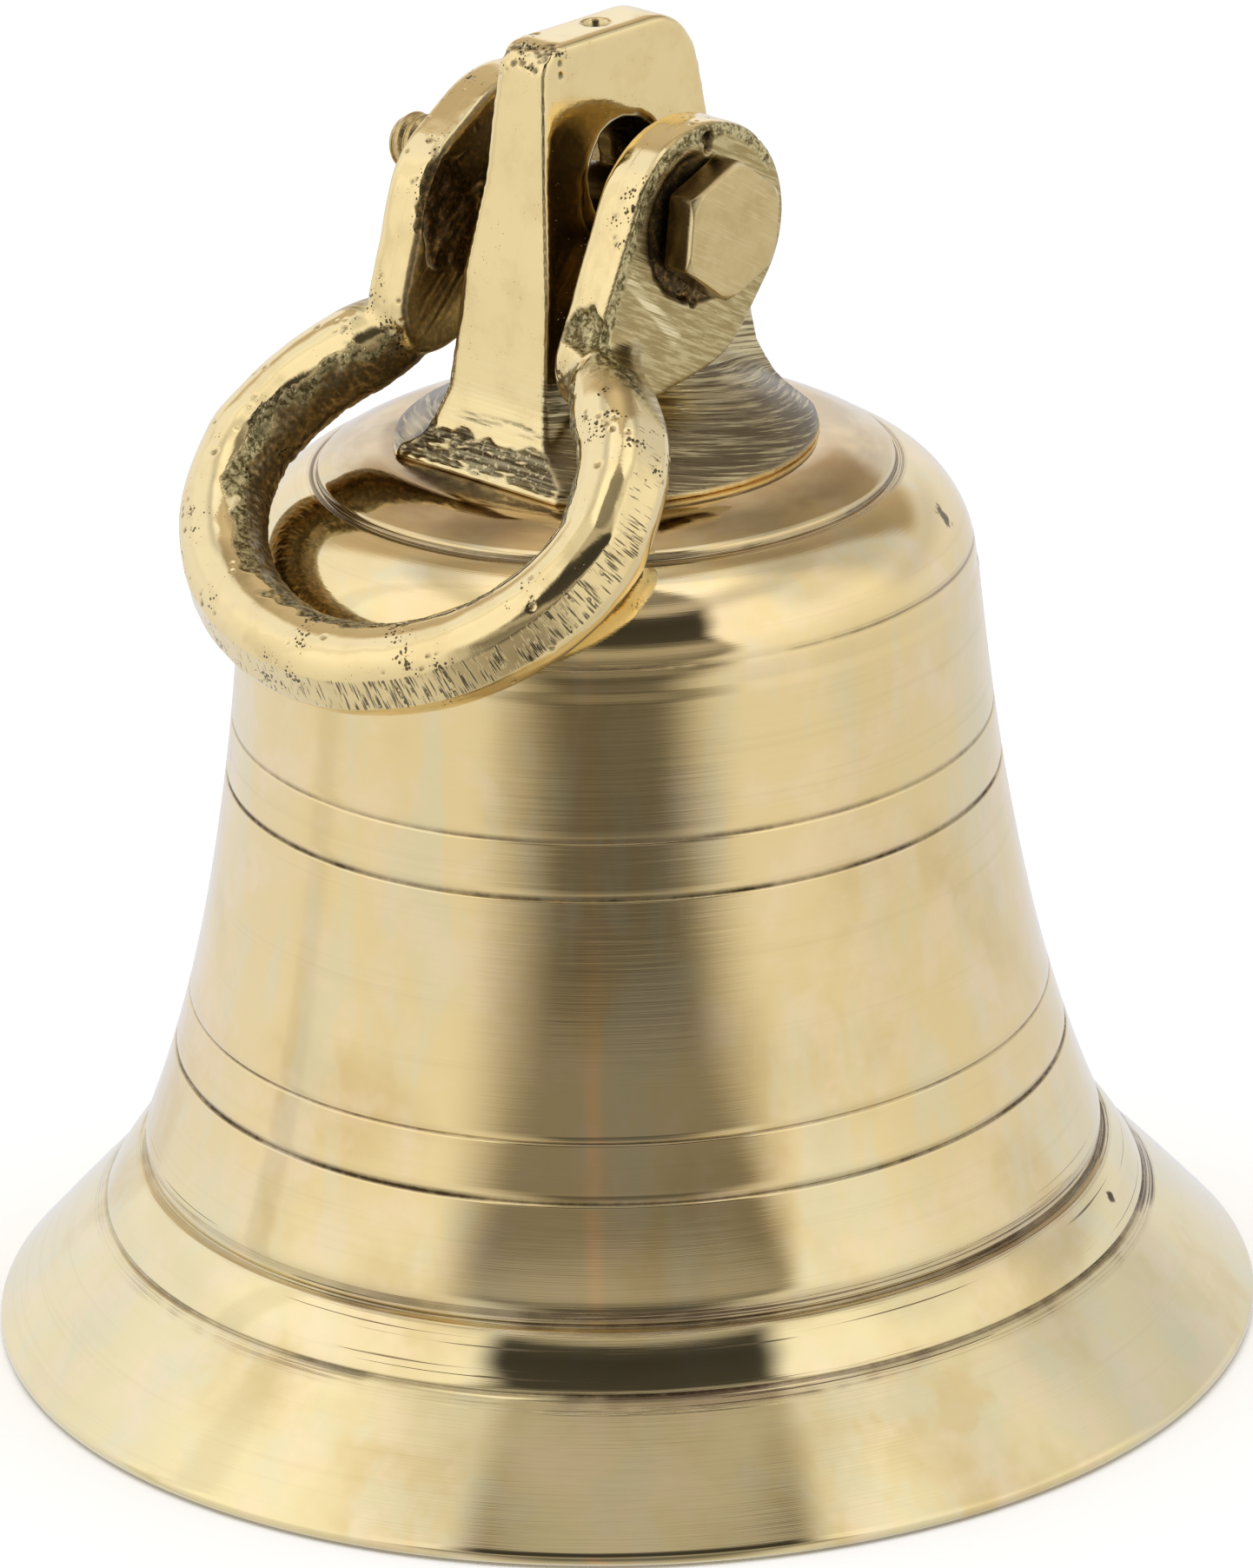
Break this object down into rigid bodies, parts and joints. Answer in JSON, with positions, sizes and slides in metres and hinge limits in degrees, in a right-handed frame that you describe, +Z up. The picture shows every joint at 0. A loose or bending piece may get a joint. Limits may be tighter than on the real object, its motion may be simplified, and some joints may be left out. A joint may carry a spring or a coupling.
{
  "type": "ship bell",
  "caption": "Cast brass ship's bell standing on its lip, with a crown lug, a bolted bow shackle that swings, and a clapper inside.",
  "frame": {"origin": "centre of the mouth, in the plane of the lip that the bell stands on", "axes": "+Z up the bell's axis from the mouth to the lug; X along the shackle bolt with its head at +X; the shackle has fallen to -Y"},
  "size_m": [0.2032, 0.2032, 0.2153],
  "materials": {
    "polished_brass": "worn polish with fine turning marks",
    "cast_brass": "pitted casting, filed and polished on its high parts",
    "machined_brass": "machined, dulled"
  },
  "bodies": {
    "bell": {"bell_body": "polished_brass", "crown_lug": "polished_brass", "crown_washer": "machined_brass", "crown_nut": "machined_brass", "clapper_fork": "machined_brass", "clapper_bolt": "machined_brass", "clapper_bolt_nut": "machined_brass"},
    "shackle": {"shackle": "cast_brass"},
    "bolt": {"shackle_bolt": "machined_brass"},
    "clapper": {"clapper_rod": "machined_brass", "clapper_ball": "polished_brass", "clapper_rope_eye": "machined_brass"}
  },
  "joints": [
    {"name": "shackle_swing", "type": "hinge", "parent": "bell", "child": "shackle", "pos_m": [0, 0, 0.1876], "axis": [-1, 0, 0], "range_deg": [0, 262.8]},
    {"name": "bolt_turn", "type": "hinge", "parent": "shackle", "child": "bolt", "pos_m": [0, 0, 0.1876], "axis": [1, 0, 0], "range_deg": [0, 360]},
    {"name": "clapper_swing", "type": "hinge", "parent": "bell", "child": "clapper", "pos_m": [0, 0, 0.1105], "axis": [1, 0, 0], "range_deg": [-38.6, 38.6]}
  ]
}
